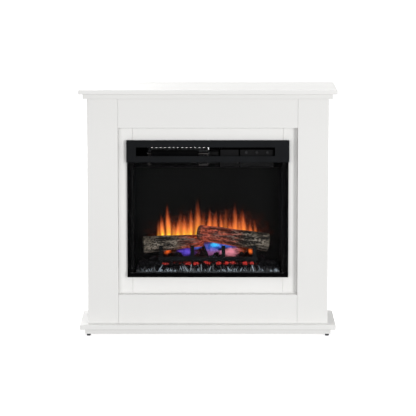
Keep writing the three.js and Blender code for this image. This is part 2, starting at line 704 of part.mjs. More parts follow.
{
  // Housing: the scroll wall behind and below the wheel, the tongue in front, and two end plates.
  const wallPoints = (offset) =>
    steps(0, 1, 12).map((t) => {
      const angle = THREE.MathUtils.degToRad(25 - 115 * t);
      const r = scrollR + SCROLL_GROWTH * t + offset;
      return [BLOWER_Y + r * Math.cos(angle), wheelZ + r * Math.sin(angle)];
    });
  const ductFloor = wheelZ - scrollR - SCROLL_GROWTH;
  const scroll = [
    ...wallPoints(0),
    [ductFront, ductFloor],
    [ductFront, ductFloor - SCROLL_T],
    ...wallPoints(SCROLL_T).reverse(),
  ];
  const tongueZ = wheelZ + 9;
  const tongueY = BLOWER_Y - scrollR - 2;
  const tongue = [
    [ductFront, tongueZ], [tongueY, tongueZ], [tongueY + 2, tongueZ + 5],
    [tongueY + 0.5, tongueZ + 6], [tongueY - 1.2, tongueZ + SCROLL_T], [ductFront, tongueZ + SCROLL_T],
  ];
  const end = [
    [ductFront, ductFloor - SCROLL_T],
    [BLOWER_Y + 12, ductFloor - SCROLL_T],
    [BLOWER_Y + scrollR + SCROLL_GROWTH, wheelZ - 12],
    [BLOWER_Y + scrollR + SCROLL_GROWTH, wheelZ + 12],
    [BLOWER_Y + 14, wheelZ + scrollR],
    [BLOWER_Y - 14, wheelZ + scrollR],
    [tongueY - 2, tongueZ + 8],
    [ductFront, tongueZ + SCROLL_T],
  ];
  const span = [blowerX0, blowerX1];
  const bore = tubeX(WHEEL_SHAFT_R + RUN_CLEAR, blowerX0 - 5, blowerX1 + 5, BLOWER_Y, wheelZ, 20);
  const whole = [
    profileX(scroll, ...span),
    profileX(tongue, ...span),
    profileX(end, blowerX0, blowerX0 + SCROLL_T),
    profileX(end, blowerX1 - SCROLL_T, blowerX1),
  ].map(toSolid);
  const housing = whole.reduce((sum, next) => sum.add(next)).subtract(toSolid(bore));
  add(insert, 'blower_housing', toGeometry(housing), greySteel());

  // Wheel: discs on a shaft, joined by a ring of pitched blades.
  const wheelX0 = blowerX0 + SCROLL_T + 2;
  const wheelX1 = blowerX1 - SCROLL_T - 2;
  const discs = steps(wheelX0, wheelX1 - 2, 2).map((x) => tubeX(WHEEL_R, x, x + 2, 0, 0, 32));
  const blades = steps(0, WHEEL_BLADES - 1, WHEEL_BLADES - 1).map((i) => {
    const blade = boxAt([wheelX0, wheelX1], [-3.5, 3.5], [-0.5, 0.5]);
    blade.rotateX(THREE.MathUtils.degToRad(32)).translate(0, WHEEL_R - 4.5, 0);
    return blade.rotateX((2 * Math.PI * i) / WHEEL_BLADES);
  });
  const shafts = tubeX(WHEEL_SHAFT_R, blowerX0 - 3, blowerX1 + 10, 0, 0, 16);
  const wheel = add(insert, 'blower_wheel', joined(...discs, ...blades, shafts), finish(0xb9bcc0, 0.35, 0.9));
  wheel.position.set(0, BLOWER_Y, wheelZ);

  // Motor: a round can on the housing end, bored for the wheel shaft, on a foot.
  const motorX0 = blowerX1 + GAP;
  const motorX1 = motorX0 + BLOWER_MOTOR_L;
  const can = tubeX(19, motorX0, motorX1, BLOWER_Y, wheelZ, 32);
  const cradle = boxAt(
    [motorX0 + 4, motorX1 - 4], [BLOWER_Y - 12, BLOWER_Y + 12], [shelfTopZ + GAP, wheelZ],
  );
  const motorBore = tubeX(WHEEL_SHAFT_R + RUN_CLEAR, motorX0 - 2, motorX0 + 14, BLOWER_Y, wheelZ, 20);
  add(
    insert, 'blower_motor',
    toGeometry(toSolid(can).add(toSolid(cradle)).subtract(toSolid(motorBore))),
    blackSteel(),
  );

  // Heater: an open frame with upright fins, in front of the duct.
  const heaterX = [blowerX0 + 4, blowerX1 - 4];
  const heaterZ = [shelfTopZ + GAP, tongueZ + SCROLL_T];
  const heaterY = [HEATER_Y, HEATER_Y + HEATER_D];
  const frame = cut(
    boxAt(heaterX, heaterY, heaterZ),
    boxAt(
      [heaterX[0] + 3, heaterX[1] - 3], [HEATER_Y - 1, HEATER_Y + HEATER_D + 1],
      [heaterZ[0] + 3, heaterZ[1] - 3],
    ),
  );
  const fins = steps(heaterX[0] + 8, heaterX[1] - 9, HEATER_FINS - 1).map((x) =>
    boxAt([x, x + 1], [HEATER_Y + 3, HEATER_Y + HEATER_D - 3], [heaterZ[0] + 2, heaterZ[1] - 2]),
  );
  const barZ = (heaterZ[0] + heaterZ[1]) / 2;
  const bar = boxAt(
    [heaterX[0] + 2, heaterX[1] - 2], [HEATER_Y + 7, HEATER_Y + HEATER_D - 7], [barZ - 2, barZ + 2],
  );
  add(insert, 'heater_element', joined(frame, ...fins, bar), finish(0x8f9296, 0.35, 0.9));

  // Cut-out: a round thermal switch on the heater frame.
  const cutout = [[0, 0], [9, 0], [9, 2], [7.5, 2.4], [7.5, 7], [0, 7]].map(([r, z]) => new THREE.Vector2(r, z));
  const guard = add(
    insert, 'thermal_cutout', new THREE.LatheGeometry(cutout, 20).rotateX(Math.PI / 2), finish(0xcfc9bd, 0.5),
  );
  guard.position.set(blowerX0 + 40, HEATER_Y + HEATER_D / 2, heaterZ[1] + GAP);

  // Baffle: a folded sheet from the heater's foot up to the slot, which throws the warm air forward.
  const baffleTop = slotZ + 0.55 * SLOT_H;
  const baffle = [
    [HEATER_Y - 2, shelfTopZ + GAP],
    [HEATER_Y - 2, shelfTopZ + GAP + SHEET],
    [26, shelfTopZ + GAP + SHEET],
    [9, baffleTop - 6],
    [14, baffleTop],
    [12.7, baffleTop + 0.8],
    [7.2, baffleTop - 6],
    [25, shelfTopZ + GAP],
  ];
  add(
    insert, 'outlet_baffle', profileX(baffle, blowerX0 + 14, blowerX1 - 38), blackSteel(),
  );
}

// ================================================================ insert: controls
const controlZ = [shelfTopZ + GAP, shelfTopZ + GAP + CONTROL_H];
const buttonZ = slotZ + 11;
const buttonX = steps(controlX0 + 22, controlX1 - 22, 2);
{
  const shell = new RoundedBoxGeometry(CONTROL_W, CONTROL_D, CONTROL_H, 1, 1);
  shell.translate((controlX0 + controlX1) / 2, CONTROL_Y + CONTROL_D / 2, (controlZ[0] + controlZ[1]) / 2);
  const hollow = boxAt(
    [controlX0 + CONTROL_WALL, controlX1 - CONTROL_WALL],
    [CONTROL_Y + CONTROL_WALL, CONTROL_Y + CONTROL_D + 1],
    [controlZ[0] + CONTROL_WALL, controlZ[1] - CONTROL_WALL],
  );
  const holes = buttonX.map((x) => tubeY(BUTTON_R + RUN_CLEAR, CONTROL_Y - 2, CONTROL_Y + 4, x, buttonZ));
  add(insert, 'control_box', cut(shell, hollow, ...holes), blackPlastic());

  // Buttons: a cap through the face and a collar inside that stops it coming out.
  const collarFrom = CONTROL_WALL + GAP;
  const capProfile = [
    [0, -BUTTON_OUT], [BUTTON_R - 1, -BUTTON_OUT], [BUTTON_R, -BUTTON_OUT + 1],
    [BUTTON_R, collarFrom], [BUTTON_R + 1.8, collarFrom], [BUTTON_R + 1.8, collarFrom + 1.5],
    [2, collarFrom + 1.5], [2, collarFrom + 4], [0, collarFrom + 4],
  ].map(([r, y]) => new THREE.Vector2(r, y));
  ['power', 'flame', 'heat'].forEach((job, i) => {
    const cap = new THREE.LatheGeometry(capProfile, 18);
    const button = add(insert, `button_${job}`, cap, finish(0x3a3b3e, 0.45));
    button.position.set(buttonX[i], CONTROL_Y, buttonZ);
  });

  // Control board: stands behind the buttons, a press of the button short of its switches.
  const boardFront = CONTROL_Y + collarFrom + 4 + BUTTON_TRAVEL + 0.5;
  addBoard(
    insert, 'control_board',
    [controlX0 + CONTROL_WALL + 1, controlX1 - CONTROL_WALL - 1],
    [boardFront, boardFront + 1.6],
    [controlZ[0] + CONTROL_WALL + GAP, controlZ[1] - CONTROL_WALL - 1],
    finish(0x1d5b3a, 0.5), 0,
  );

  // Receiver: a smaller box with a shallow window for the remote's signal.
  const body = new RoundedBoxGeometry(RECEIVER_W, CONTROL_D, CONTROL_H, 1, 1);
  body.translate((receiverX0 + receiverX1) / 2, CONTROL_Y + CONTROL_D / 2, (controlZ[0] + controlZ[1]) / 2);
  const windowCut = boxAt(
    [receiverX0 + 12, receiverX1 - 12], [CONTROL_Y - 1, CONTROL_Y + 1.5], [buttonZ - 7, buttonZ + 6],
  );
  const cavity = boxAt(
    [receiverX0 + CONTROL_WALL, receiverX1 - CONTROL_WALL],
    [CONTROL_Y + 4, CONTROL_Y + CONTROL_D + 1],
    [controlZ[0] + CONTROL_WALL, controlZ[1] - CONTROL_WALL],
  );
  add(insert, 'receiver_box', cut(body, windowCut, cavity), blackPlastic());
}

export default fireplace;
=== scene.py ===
# %% [markdown]
# # An electric fireplace
# A white painted mantel stands round a black plug-in insert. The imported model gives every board
# and sheet its size, so this script only adds what a model for motion leaves out: paint, plating,
# bark, ash, coals and the picture of the fire. Everything is in metres, in the model's own frame.

# %% Load the frame
import math
import random

import bpy
import numpy as np
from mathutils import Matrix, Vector, noise


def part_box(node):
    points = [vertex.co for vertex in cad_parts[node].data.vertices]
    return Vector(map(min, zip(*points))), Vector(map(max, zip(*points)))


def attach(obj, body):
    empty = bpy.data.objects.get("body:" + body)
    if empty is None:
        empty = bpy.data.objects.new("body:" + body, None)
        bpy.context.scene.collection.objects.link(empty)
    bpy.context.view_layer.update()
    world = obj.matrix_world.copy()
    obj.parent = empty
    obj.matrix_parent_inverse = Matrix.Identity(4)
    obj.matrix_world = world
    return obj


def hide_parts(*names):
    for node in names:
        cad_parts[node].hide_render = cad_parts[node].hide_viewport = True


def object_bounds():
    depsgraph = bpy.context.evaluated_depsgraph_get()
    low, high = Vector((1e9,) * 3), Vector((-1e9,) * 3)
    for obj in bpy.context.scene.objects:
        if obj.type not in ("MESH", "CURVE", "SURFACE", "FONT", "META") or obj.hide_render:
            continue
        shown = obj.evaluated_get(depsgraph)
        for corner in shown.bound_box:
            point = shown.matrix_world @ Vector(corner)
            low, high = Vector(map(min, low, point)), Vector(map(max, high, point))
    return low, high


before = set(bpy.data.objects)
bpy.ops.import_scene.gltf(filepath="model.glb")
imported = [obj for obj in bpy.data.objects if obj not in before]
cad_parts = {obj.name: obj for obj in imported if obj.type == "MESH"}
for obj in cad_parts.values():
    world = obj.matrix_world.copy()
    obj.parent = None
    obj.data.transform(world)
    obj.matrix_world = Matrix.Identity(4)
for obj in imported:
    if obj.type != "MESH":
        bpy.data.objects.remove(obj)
cad_low, cad_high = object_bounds()
scene = bpy.context.scene
MM = 0.001
BODY = "fireplace"
print("nodes:", len(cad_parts), "box:", [round(v, 3) for v in cad_high - cad_low])

# %% [markdown]
# ## Camera
# The fireplace is seen square from the front and a little from above, from far away, so that its
# pillars stay nearly upright in the view. A long lens and a small tilt do that. A little lens
# shift takes over part of the tilt, which keeps the pillars straighter still.

# %% Camera
DISTANCE = 9.0
EYE_SIDE = 0.6 * MM
EYE_HEIGHT = 1.814
TILT_DOWN = 7.643  # degrees
SENSOR_MM = 36
FOCAL_MM = 214.75
RISE = -0.1  # lens shift, as a share of the frame's width
lens = bpy.data.cameras.new("camera")
lens.sensor_width = SENSOR_MM
lens.lens = FOCAL_MM
lens.shift_y = RISE
camera = bpy.data.objects.new("camera", lens)
camera.location = (EYE_SIDE, -DISTANCE, EYE_HEIGHT)
camera.rotation_euler = (math.radians(90 - TILT_DOWN), 0, 0)
scene.collection.objects.link(camera)
scene.camera = camera

# %% [markdown]
# ## Writing finishes
# A finish reads better as a sum than as a picture of wires. `Wire` wraps one output of a shader
# node, and adding or multiplying wires adds the Math nodes. `Finish.node` makes any other node:
# first its settings, then the values or wires of its sockets. A socket goes by its own name, with
# underscores for spaces.


# %% Wires and finishes
def plug(socket, value):
    """Give a socket a wire, a number or a colour."""
    if isinstance(value, Wire):
        socket.id_data.links.new(value.socket, socket)
    elif hasattr(socket.default_value, "__len__") and len(socket.default_value) == 4:
        socket.default_value = (*value, 1)
    else:
        socket.default_value = value


def named(sockets, name):
    """The socket of that name, or of that place in the row."""
    if isinstance(name, int):
        return sockets[name]
    return next(s for s in sockets if s.identifier.replace("_", " ") == name.replace("_", " "))


class Wire:
    """One output of a shader node, ready for arithmetic."""

    def __init__(self, socket):
        self.socket = socket

    def math(self, operation, *operands):
        node = self.socket.id_data.nodes.new("ShaderNodeMath")
        node.operation = operation
        for socket, value in zip(node.inputs, operands):
            plug(socket, value)
        return Wire(node.outputs[0])

    def __add__(self, other):
        return self.math("ADD", self, other)

    def __sub__(self, other):
        return self.math("SUBTRACT", self, other)

    def __rsub__(self, other):
        return self.math("SUBTRACT", other, self)

    def __mul__(self, other):
        return self.math("MULTIPLY", self, other)

    def __abs__(self):
        return self.math("ABSOLUTE", self)

    def most(self, other):
        return self.math("MAXIMUM", self, other)

    __radd__ = __add__
    __rmul__ = __mul__


class Bench:
    """A node tree with a place to start from, and short ways to add what finishes need."""

    def __init__(self, tree, space):
        self.tree = tree
        self.place = self.node("TexCoord", out=space)

    def node(self, kind, settings=None, out=0, **sockets):
        made = self.tree.nodes.new("ShaderNode" + kind)
        for name, value in (settings or {}).items():
            if name == "stops":
                stops = made.color_ramp.elements
                while len(stops) < len(value):
                    stops.new(0.5)
                for stop, (position, color) in zip(stops, value):
                    stop.position, stop.color = position, (*color, 1)
            else:
                setattr(made, name, value)
        for name, value in sockets.items():
            plug(named(made.inputs, name), value)
        return Wire(named(made.outputs, out))

    def scaled(self, x, y, z):
        return self.node("VectorMath", {"operation": "MULTIPLY"}, Vector=self.place,
                         Vector_001=(x, y, z))

    def noise(self, per_metre, detail=3, place=None, rough=0.5):
        return self.node("TexNoise", Vector=place or self.place, Scale=per_metre, Detail=detail,
                         Roughness=rough)

    def step(self, value, low, high):
        return self.node("MapRange", {"interpolation_type": "SMOOTHSTEP"}, Value=value,
                         From_Min=low, From_Max=high)

    def mix(self, factor, first, second):
        return self.node("Mix", {"data_type": "RGBA"}, "Result_Color", Factor_Float=factor,
                         A_Color=first, B_Color=second)

    def axis(self, name, vector=None):
        return self.node("SeparateXYZ", out=name, Vector=vector or self.place)

    def bump(self, height, depth):
        return self.node("Bump", Height=height, Distance=depth)

    def painted(self, name):
        """A number that the mesh carries at each of its points."""
        return self.node("Attribute", {"attribute_name": name}, "Fac")


class Finish(Bench):
    """A material with one Principled shader, fed by wires."""

    def __init__(self, name, **values):
        self.material = bpy.data.materials.new(name)
        self.material.use_nodes = True
        self.shader = self.material.node_tree.nodes["Principled BSDF"]
        super().__init__(self.material.node_tree, "Object")
        self.feed(**values)

    def feed(self, **values):
        for name, value in values.items():
            plug(named(self.shader.inputs, name), value)


# %% [markdown]
# ## Room
# A catalogue studio is a white box with two soft boxes in front. The nearer one, at the right,
# lays a narrow soft shade along the right of the recess, the other a fainter one at the left. A
# third hangs overhead and whitens every shelf. The sweep under the fireplace glows a little, so
# that only a breath of contact shadow is left. It is hidden from bounced light, because its glow
# would flatten the shade; the lower half of the world gives the bounce of a real floor instead.
# A fourth soft box stands behind, for anyone who walks round to the back.

# %% World
scene.view_settings.view_transform = "Standard"
AMBIENT = 0.43  # straight up and down
HORIZON = 1.0
HORIZON_BAND = (0.10, 0.30)  # where the bright horizon fades out, by height of the direction
world = bpy.data.worlds.new("studio")
world.use_nodes = True
scene.world = world
room = Bench(world.node_tree, "Generated")
background = world.node_tree.nodes["Background"].inputs
upness = abs(room.axis("Z"))
plug(background["Color"],
     room.mix(room.step(upness, *HORIZON_BAND), (HORIZON,) * 3, (AMBIENT,) * 3))

# %% Floor and soft boxes
FLOOR_HALF = 40
SWEEP_GLOW = 0.72
floor_mesh = bpy.data.meshes.new("floor")
corners = [(x * FLOOR_HALF, y * FLOOR_HALF, 0) for x, y in ((-1, -1), (1, -1), (1, 1), (-1, 1))]
floor_mesh.from_pydata(corners, [], [(0, 1, 2, 3)])
floor = bpy.data.objects.new("floor", floor_mesh)
scene.collection.objects.link(floor)
floor.visible_diffuse = False
floor.visible_glossy = False
sweep = Finish("studio_sweep", Roughness=0.9, Emission_Color=(1, 1, 1),
               Emission_Strength=SWEEP_GLOW)
sweep.feed(Base_Color=sweep.mix(sweep.noise(0.8), (0.8, 0.8, 0.8), (0.84, 0.84, 0.84)))
floor_mesh.materials.append(sweep.material)


def lamp(name, kind, place, aim, power, size, color):
    data = bpy.data.lights.new(name, kind)
    data.energy = power
    data.color = color
    if kind == "AREA":
        data.size = size
    else:
        data.shadow_soft_size = size
    thing = bpy.data.objects.new(name, data)
    thing.location = place
    thing.rotation_euler = (Vector(aim) - Vector(place)).to_track_quat("-Z", "Y").to_euler()
    scene.collection.objects.link(thing)


middle = (cad_low + cad_high) / 2
for name, place, watts, wide in (("right_soft_box", (2.9, -6.2, 1.3), 180, 1.3),
                                 ("left_soft_box", (-2.2, -6.6, 1.3), 62, 1.8),
                                 ("overhead_soft_box", (0.1, 0.3, 4.4), 115, 3.0),
                                 ("back_fill", (-1.8, 6.0, 1.8), 90, 2.5)):
    lamp(name, "AREA", place, middle, watts, wide, (1, 1, 1))

# %% [markdown]
# ## Satin white paint over fibreboard
# The mantel is fibreboard sprayed satin white. The spray leaves a fine orange-peel, a few
# slightly duller clouds, and a softer, faintly warm line along handled edges. Only what faces the
# room is sprayed: backs, and the faces round the hollow pillars, stay bare. One finish can do
# both, because a board's own normal says which way a face looks. The boards round the insert are
# set back and so get less light; their white is set brighter to make up for it, although a real
# mantel is sprayed all over with one paint.

# %% Paint and bare board
PILLAR_HOLLOW = (0.338, 0.424)  # from the reveal's hidden face to the side panel's hidden face


def bare_fibre(finish):
    """Pressed wood fibre: short pale and dark flecks."""
    flecks = finish.noise(520, 5, finish.scaled(1, 1, 1.6), 0.7)
    return finish.mix(finish.step(flecks, 0.35, 0.68), (0.30, 0.195, 0.115), (0.56, 0.42, 0.28))


def satin_white(name, dull, bright):
    paint = Finish(name, Specular_IOR_Level=0.35)
    facing = paint.node("TexCoord", out="Normal")
    out_x = abs(paint.axis("X"))
    hollow = paint.step(out_x, PILLAR_HOLLOW[0], PILLAR_HOLLOW[0] + MM) * (
        1 - paint.step(out_x, PILLAR_HOLLOW[1] - MM, PILLAR_HOLLOW[1]))
    sideways = paint.step(abs(paint.axis("X", facing)), 0.7, 0.9)
    bare = paint.step(paint.axis("Y", facing), 0.7, 0.9).most(hollow * sideways)
    clouds = paint.noise(5, 3)
    peel = paint.noise(650, 2)
    edge = paint.step(paint.node("NewGeometry", out="Pointiness"), 0.52, 0.62)
    white = paint.mix(clouds, dull, bright)
    white = paint.mix(edge * 0.5, white, (0.70, 0.690, 0.665))
    paint.feed(Base_Color=paint.mix(bare, white, bare_fibre(paint)),
               Roughness=0.34 + 0.16 * clouds + 0.4 * bare,
               Normal=paint.bump(peel * (1 + 4 * bare), 0.05 * MM))
    return paint.material


def raw_board():
    board = Finish("raw_fibreboard", Specular_IOR_Level=0.2)
    board.feed(Base_Color=bare_fibre(board), Roughness=0.75 + 0.15 * board.noise(60),
               Normal=board.bump(board.noise(700, 4), 0.12 * MM))
    return board.material


# %% [markdown]
# ## Black sheet metal
# The case is powder-coated steel: a dull black with a fine pebbled skin. The front trim is a
# smoother satin black with a trace of blue. Both are dark enough that their shine decides how
# they look, so the shine is turned down until a white room shows in them only as a soft grey.


# %% Blacks
CLOUDS_PER_M = 14


def black_coat(name, dark, light, dull, pebble, shine):
    coat = Finish(name, Specular_IOR_Level=shine)
    patches = coat.noise(CLOUDS_PER_M, 4)
    coat.feed(Base_Color=coat.mix(coat.step(patches, 0.3, 0.7), dark, light),
              Roughness=dull + 0.18 * patches,
              Normal=coat.bump(coat.noise(pebble, 2), 0.05 * MM))
    return coat.material


# a darker copy of the black for the parts round the pane: painted shade, not a different coating
painted_shade_black = black_coat("painted_shade_sheet_black", (0.0008, 0.0008, 0.001), (0.0015, 0.0015, 0.0018),
                       0.6, 1100, 0.01)
powder_black = black_coat("powder_black", (0.0015, 0.0015, 0.0018), (0.003, 0.003, 0.0033),
                          0.5, 1100, 0.05)
trim_black = black_coat("satin_trim_black", (0.0030, 0.0035, 0.0045), (0.0045, 0.0055, 0.0070),
                        0.32, 1600, 0.09)
grate_iron = black_coat("cast_grate_black", (0.002, 0.0025, 0.003), (0.007, 0.009, 0.011),
                        0.6, 380, 0.08)
box_plastic = black_coat("grained_black_plastic", (0.003, 0.003, 0.0035), (0.006, 0.006, 0.0065),
                         0.5, 900, 0.1)
motor_paint = black_coat("motor_black", (0.012, 0.012, 0.013), (0.02, 0.02, 0.021),
                         0.35, 700, 0.3)
glide_plastic = black_coat("moulded_glide_grey", (0.035, 0.035, 0.038), (0.06, 0.06, 0.064),
                           0.45, 500, 0.3)
button_grey = black_coat("button_grey", (0.010, 0.010, 0.011), (0.018, 0.018, 0.020),
                         0.4, 1400, 0.2)

# %% [markdown]
# ## Bare metals and small parts
# Behind the front hide the parts that do the work. Plated sheet shows a faint spangle, turned
# steel shows fine lines round its axis, and the heater fins have gone straw and blue with heat.
# Stretching a noise far more along one axis than another gives brushed lines. The plated sheet and
# the fins are set darker than such metal really is, to keep the slot in front of them dark under
# these lamps. In a scene with other lamps they may want their true, lighter values.


# %% Metals
def brushed(name, color, second, rough, stretch, spangle=0.0):
    metal = Finish(name, Metallic=1.0)
    lines = metal.noise(1, 4, metal.scaled(*stretch), 0.6)
    cells = metal.node("TexVoronoi", {"feature": "F1"}, "Color", Vector=metal.place, Scale=90)
    flakes = metal.axis("X", cells) * spangle
    metal.feed(Base_Color=metal.mix(metal.step(lines + flakes, 0.3, 0.75 + spangle), color, second),
               Roughness=rough + 0.22 * lines + 0.1 * flakes,
               Normal=metal.bump(lines, 0.03 * MM))
    return metal.material


plated = brushed("plated_spangle_sheet", (0.05, 0.052, 0.055), (0.10, 0.102, 0.105),
                 0.55, (260, 260, 260), 0.4)
turned_steel = brushed("turned_steel", (0.32, 0.32, 0.33), (0.52, 0.52, 0.53),
                       0.22, (1600, 40, 40))
vane_mirror = brushed("vane_mirror", (0.72, 0.72, 0.74), (0.86, 0.86, 0.87),
                      0.06, (40, 500, 500))
wheel_alloy = brushed("pressed_wheel_alloy", (0.42, 0.43, 0.44), (0.60, 0.61, 0.62),
                      0.25, (90, 700, 700))
fin_alloy = brushed("heat_tinted_fins", (0.070, 0.062, 0.055), (0.12, 0.115, 0.118),
                    0.5, (25, 400, 400), 0.2)


# %% Circuit board, ceramic and moulded bush
def circuit_green():
    board = Finish("circuit_green", Specular_IOR_Level=0.5)
    tracks = board.node("TexWave", {"wave_type": "BANDS", "bands_direction": "DIAGONAL"}, "Fac",
                        Vector=board.place, Scale=60, Distortion=9, Detail=2, Detail_Scale=2)
    copper = board.step(tracks, 0.72, 0.78)
    board.feed(Base_Color=board.mix(copper, (0.01, 0.075, 0.03), (0.03, 0.17, 0.06)),
               Roughness=0.35 - 0.1 * copper, Normal=board.bump(copper, 0.05 * MM))
    return board.material


def speckled(name, base, speck, rough, per_metre, depth):
    stuff = Finish(name)
    specks = stuff.noise(per_metre, 4, rough=0.65)
    stuff.feed(Base_Color=stuff.mix(stuff.step(specks, 0.55, 0.7), base, speck),
               Roughness=rough + 0.2 * specks, Normal=stuff.bump(specks, depth))
    return stuff.material


cutout_ceramic = speckled("cutout_ceramic", (0.66, 0.62, 0.55), (0.45, 0.41, 0.35),
                          0.4, 500, 0.06 * MM)
bush_nylon = speckled("bush_nylon", (0.70, 0.68, 0.62), (0.62, 0.60, 0.54),
                      0.35, 200, 0.04 * MM)

# %% [markdown]
# ## Glass
# The pane is thin clear glass in front of a dark box. A thin pane hardly bends light, so it needs
# no refraction: a nearly see-through black surface keeps a faint reflection of the room and dims
# the fire a little. A few wiping smears vary its shine.


# %% Glass pane
def clear_pane():
    pane = Finish("clear_pane", Base_Color=(0.002, 0.002, 0.002), Specular_IOR_Level=0.4)
    smears = pane.noise(7, 4, pane.scaled(1, 1, 2.2), 0.6)
    pane.feed(Roughness=0.03 + 0.09 * pane.step(smears, 0.45, 0.75),
              Alpha=0.035 + 0.03 * smears)
    return pane.material


# %% [markdown]
# ## The flame screen's glow
# Behind the logs stands a dark diffusing screen. Lamps below throw blue, pink and orange pools on
# its foot, and a brown haze hangs where the flames are. Each pool is a soft oval: the distance
# from its centre, squashed by its two radii, fades to nothing at one. The pools add up.

# %% Screen
# centre x, z and half sizes in mm, colour, strength
POOLS = (
    (24, 313, 20, 10, (0.0, 0.66, 1.0), 0.85),
    (18, 305, 44, 20, (0.01, 0.16, 0.85), 0.60),
    (-42, 307, 22, 13, (0.01, 0.18, 0.90), 0.65),
    (68, 309, 38, 11, (0.03, 0.20, 0.90), 0.60),
    (-80, 288, 34, 18, (0.12, 0.08, 0.80), 0.75),
    (14, 285, 44, 14, (0.45, 0.16, 0.42), 0.55),
    (82, 286, 44, 16, (1.0, 0.33, 0.42), 0.85),
    (124, 288, 22, 15, (0.80, 0.14, 0.05), 0.30),
    (157, 289, 9, 11, (1.0, 0.17, 0.02), 1.0),
    (-148, 288, 15, 11, (1.0, 0.14, 0.02), 1.0),
    (-60, 350, 150, 80, (0.36, 0.070, 0.025), 0.22),
    (90, 362, 130, 80, (0.36, 0.065, 0.025), 0.22),
)


def smoked_screen():
    screen = Finish("smoked_screen", Base_Color=(0.0015, 0.0015, 0.0015), Specular_IOR_Level=0.03,
                    Emission_Strength=1.0)
    wisps = screen.noise(1, 4, screen.scaled(20, 1, 75), 0.6)
    ragged = 1.1 * (wisps - 0.5) + 1.3 * (screen.noise(62, 3) - 0.5)
    glow = (0, 0, 0)
    for x, z, wide, tall, color, power in POOLS:
        off = screen.node("VectorMath", {"operation": "SUBTRACT"}, Vector=screen.place,
                          Vector_001=(x * MM, 0, z * MM))
        oval = screen.node("VectorMath", {"operation": "MULTIPLY"}, Vector=off,
                           Vector_001=(1 / wide / MM, 0, 1 / tall / MM))
        away = screen.node("VectorMath", {"operation": "LENGTH"}, "Value", Vector=oval)
        soft = (1 - screen.step(away + ragged, 0.1, 1.2)) * (0.6 + 0.8 * wisps) * power
        glow = screen.node("Mix", {"data_type": "RGBA", "blend_type": "ADD"}, "Result_Color",
                           Factor_Float=soft, A_Color=glow, B_Color=color)
    screen.feed(Emission_Color=glow, Roughness=0.32 + 0.2 * screen.noise(9))
    return screen.material


# %% [markdown]
# ## Dress the model's own nodes
# Boards, sheets and machined parts already have their true shape, so each keeps its mesh and only
# takes a finish.

# %% Which node wears what
white = satin_white("satin_white_paint", (0.764, 0.763, 0.754), (0.790, 0.789, 0.782))
# the set-back infill boards get a brighter white that makes up for the light they lack: painted
# light, the real paint is the same
infill_brightened_white = satin_white("infill_satin_brightened_for_shade", (0.868, 0.867, 0.858), (0.894, 0.893, 0.886))
WEARS = {
    "white_paint": white, "raw_board": raw_board(), "feet": glide_plastic,
    "black_case": powder_black,
    "front_black": trim_black, "glass": clear_pane(), "plated_sheet": plated,
    "screen": smoked_screen(), "grate": grate_iron,
    "circuit": circuit_green(),
    "mirror_vanes": vane_mirror, "motor_steel": turned_steel, "bush": bush_nylon,
    "wheel": wheel_alloy, "blower_motor": motor_paint, "heater": fin_alloy,
    "cutout": cutout_ceramic, "control_black": box_plastic, "buttons": button_grey,
}
REBUILT = ("ember_bed", "log_left", "log_right")
# round the pane, where hardly any light gets: these wear a darker black than the trim, as painted
# shade
DARKENED_FOR_SHADE = ("glass_rail_left", "glass_rail_right", "bottom_bezel")
dressed = 0
for name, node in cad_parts.items():
    if name in REBUILT:
        continue
    slot = node.data.materials[0].name.split(".")[0]
    if name in DARKENED_FOR_SHADE:
        coat = painted_shade_black
    elif name.startswith("infill_"):
        coat = infill_brightened_white
    else:
        coat = WEARS[slot]
    for place in node.material_slots:
        place.material = coat
    dressed += 1
print("dressed nodes:", dressed)


# %% [markdown]
# ## Making new pieces
# A new piece is a mesh in the model's frame. It rides on the body that carries it, wears the finish
# it is given, and may stand for a node of the model, which is then hidden.


# %% One way to make every piece
def make_piece(name, points, faces, material, smooth=True, replaced=(), painted=None,
               body=BODY):
    mesh = bpy.data.meshes.new(name)
    mesh.from_pydata([tuple(p) for p in points], [], faces)
    mesh.materials.append(material)
    mesh.polygons.foreach_set("use_smooth", [smooth] * len(mesh.polygons))
    for label, values in (painted or {}).items():
        layer = mesh.attributes.new(label, "FLOAT", "POINT")
        layer.data.foreach_set("value", np.array(values, np.float32))
    piece = bpy.data.objects.new(name, mesh)
    scene.collection.objects.link(piece)
    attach(piece, body)
    if replaced:
        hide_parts(*replaced)
    print(name, "points:", len(points), "faces:", len(faces))
    return piece


def grid_faces(rows, columns, start=0, wrap=False):
    """Quads between neighbouring rows of points; wrap closes each row into a ring."""
    faces = []
    for i in range(rows - 1):
        for k in range(columns if wrap else columns - 1):
            a, b = start + i * columns + k, start + i * columns + (k + 1) % columns
            faces.append((a, b, b + columns, a + columns))
    return faces


# %% [markdown]
# ## Logs
# The logs are moulded resin, cast from real branches and painted: fine wavy ridges run along
# them, pale and olive on the crests and black in the grooves, with knots where twigs broke off.
# Towards the middle the resin is thin and lit from inside, so the grooves glow red. Each log is a
# tube of many rings. A noise stretched along the log gives the ridges, and the same number is
# kept on the points, so that the paint follows the moulding exactly.

# %% Bark relief
ALONG_BARK = 10.5 * MM  # length of a ridge
ACROSS_BARK = 3.0 * MM  # ridge to ridge
BARK_DEEP = 2.2 * MM
CAP_RINGS = 9


def ridged(place, seed):
    return 1 - min(1, abs(noise.noise(place + Vector((0, 0, seed)))) * 2.4)


